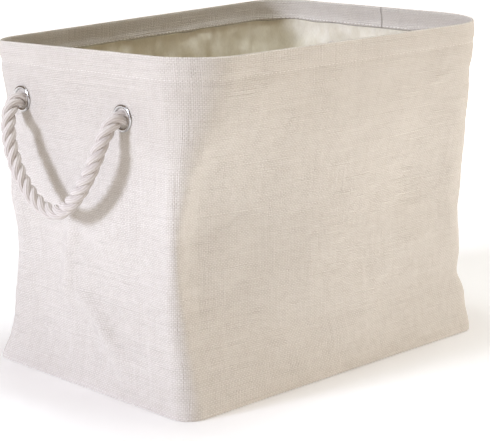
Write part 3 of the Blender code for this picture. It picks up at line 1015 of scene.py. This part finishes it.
for label, sx, y in EYELETS:
    centre = (sx * EYELET_X, y, EYELET_Z)
    eyelet = turned(f"eyelet_ring_{label}", flange, centre, sx, metal_look)
    washer = turned(f"eyelet_back_ring_{label}", back_ring, centre, sx, metal_look)
    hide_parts(f"eyelet_{label}")
    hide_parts(f"eyelet_washer_{label}")
    eyelet_pieces += [eyelet, washer]

# ---------------------------------------------------------------- rope handles and knots

# Half of the rope from inside the bin to its lowest point: distance from the bin's middle along X,
# distance from the handle's middle along Y, and height.
HALF_ROPE = (
    (0.2180, 0.0786, 0.2930),
    (0.2275, 0.0786, 0.2930),
    (0.2345, 0.0785, 0.2924),
    (0.2408, 0.0780, 0.2892),
    (0.2460, 0.0765, 0.2825),
    (0.2508, 0.0730, 0.2700),
    (0.2542, 0.0670, 0.2530),
    (0.2562, 0.0575, 0.2350),
    (0.2570, 0.0440, 0.2165),
    (0.2568, 0.0280, 0.2015),
    (0.2560, 0.0130, 0.1935),
    (0.2556, 0.0000, 0.1912),
)

KNOT_SCALE = 0.78
KNOT_MIDDLE = 0.2052
KNOT_RADIUS, KNOT_SWING, KNOT_DEPTH = 0.0102, 0.0040, 0.0104


def knot_line(turn):
    """An overhand knot's closed line about local Z, turned by an angle."""
    t = np.linspace(0, 2 * np.pi, 90, endpoint=False)
    r = KNOT_RADIUS + KNOT_SWING * np.cos(3 * t)
    x, y, z = r * np.cos(2 * t), r * np.sin(2 * t), KNOT_DEPTH * np.sin(3 * t)
    return x * math.cos(turn) - y * math.sin(turn), x * math.sin(turn) + y * math.cos(turn), z


handles, knots = {}, {"left": [], "right": []}
for end, sx, middle in ENDS:
    half = [(sx * x, y, z) for x, y, z in HALF_ROPE]
    route = [(x, middle + y, z) for x, y, z in half] + [(x, middle - y, z) for x, y, z in half[-2::-1]]
    line = smooth_route(route, ROPE_STEP)
    handles[end] = (laid_rope(f"rope_loop_{end}", line, rope_look), line)
    for side, hand in (("front", -1), ("rear", 1)):
        x, y, z = knot_line(0.6 + hand * 0.5 + sx)
        placed = np.stack([sx * (KNOT_MIDDLE + z), middle + hand * EYELET_SPAN + y, EYELET_Z + x], -1)
        placed = np.concatenate([placed, placed[:1]])
        knot = laid_rope(f"rope_stopper_knot_{end}_{side}", placed, rope_look, KNOT_SCALE)
        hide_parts(f"rope_knot_{end}_{side}")
        knots[end].append(knot)

# ---------------------------------------------------------------- what each piece stands for

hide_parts("outer_wall", "turned_hem")
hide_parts("outer_base")
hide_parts("base_board")
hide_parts("lining_wall")
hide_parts("lining_base")
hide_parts("panel_seam_allowance")
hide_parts("hem_topstitch")
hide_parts("hem_bobbin_stitch")
for piece in (outer, base, board, seam, lining, lining_floor, top_stitch, under_stitch, *eyelet_pieces):
    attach(piece, "bin")
for end, sx, middle in ENDS:
    rope, line = handles[end]
    for knot in knots[end]:
        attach(knot, "bin")
    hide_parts(f"rope_handle_{end}")
    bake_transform(rope)

# ---------------------------------------------------------------- studio and camera

FLOOR_REACH = 6
WORLD_COLOUR = (0.97, 0.70, 0.47, 1.0)
WORLD_STRENGTH = 0.29


def studio_floor():
    """A pale floor that glows a little away from the bin, so that it stays white beyond the lamps' reach."""
    n = Nodes("studio floor")
    place = n.place()
    colour = n.mix(n.span(n.noise(place, 40.0), 0.3, 0.7), FLOOR_DARK, FLOOR_LIGHT)
    reach = n.tree.nodes.new("ShaderNodeVectorMath")
    reach.operation = "LENGTH"
    n.put(reach, 0, place)
    glow = n.span(reach.outputs["Value"], 0.30, 1.8, 0.18, 0.90)
    look = n.finish(colour, 0.9, Emission_Color=(1.0, 1.0, 1.0, 1.0), Emission_Strength=glow)
    corners = [(-FLOOR_REACH, -FLOOR_REACH, 0), (FLOOR_REACH, -FLOOR_REACH, 0)]
    corners += [(FLOOR_REACH, FLOOR_REACH, 0), (-FLOOR_REACH, FLOOR_REACH, 0)]
    uvs = [[(0, 0), (1, 0), (1, 1), (0, 1)]]
    return add_mesh("studio_floor", corners, [(0, 1, 2, 3)], uvs, look, smooth=False)


studio_floor()


def soft_light(name, place, aim, size, watts, colour):
    """A rectangular lamp at a place, turned to face the aim."""
    data = bpy.data.lights.new(name, "AREA")
    data.shape = "RECTANGLE"
    data.size, data.size_y = size
    data.energy = watts
    data.color = colour
    lamp = bpy.data.objects.new(name, data)
    bpy.context.scene.collection.objects.link(lamp)
    lamp.location = place
    lamp.rotation_euler = (Vector(aim) - Vector(place)).to_track_quat("-Z", "Y").to_euler()


soft_light("key", (-4.85, 1.26, 1.50), (0, 0, 0.2), (1.0, 0.9), 220, (0.77, 0.82, 1.0))
soft_light("fill", (3.1, -2.6, 0.28), (0, 0, 0.16), (2.0, 0.5), 100, (1.0, 0.95, 0.88))
soft_light("top", (0.1, -0.1, 2.4), (0, 0, 0.2), (1.0, 1.0), 34, (0.86, 0.95, 1.0))
world = bpy.data.worlds.new("studio")
bpy.context.scene.world = world
world.use_nodes = True
background = world.node_tree.nodes["Background"]
background.inputs["Color"].default_value = WORLD_COLOUR
background.inputs["Strength"].default_value = WORLD_STRENGTH
bpy.context.scene.view_settings.view_transform = "Standard"

CAMERA_AZIMUTH = math.radians(-45.0)
CAMERA_ELEVATION = math.radians(13.9)
CAMERA_DISTANCE = 1.914
CAMERA_LENS = 128.0
SENSOR_WIDTH = 36.0
AIM_BELOW = 0.0381
back = Vector((
    math.sin(CAMERA_AZIMUTH) * math.cos(CAMERA_ELEVATION),
    -math.cos(CAMERA_AZIMUTH) * math.cos(CAMERA_ELEVATION),
    math.sin(CAMERA_ELEVATION),
))
right = Vector((math.cos(CAMERA_AZIMUTH), math.sin(CAMERA_AZIMUTH), 0))
up = back.cross(right)
aim = Vector((0, 0, RIM / 2)) - up * AIM_BELOW
camera_data = bpy.data.cameras.new("camera")
camera_data.lens = CAMERA_LENS
camera_data.sensor_width = SENSOR_WIDTH
camera_data.clip_end = 50.0
camera = bpy.data.objects.new("camera", camera_data)
bpy.context.scene.collection.objects.link(camera)
facing = Matrix((right, up, back)).transposed().to_4x4()
camera.matrix_world = Matrix.Translation(aim + back * CAMERA_DISTANCE) @ facing
bpy.context.scene.camera = camera
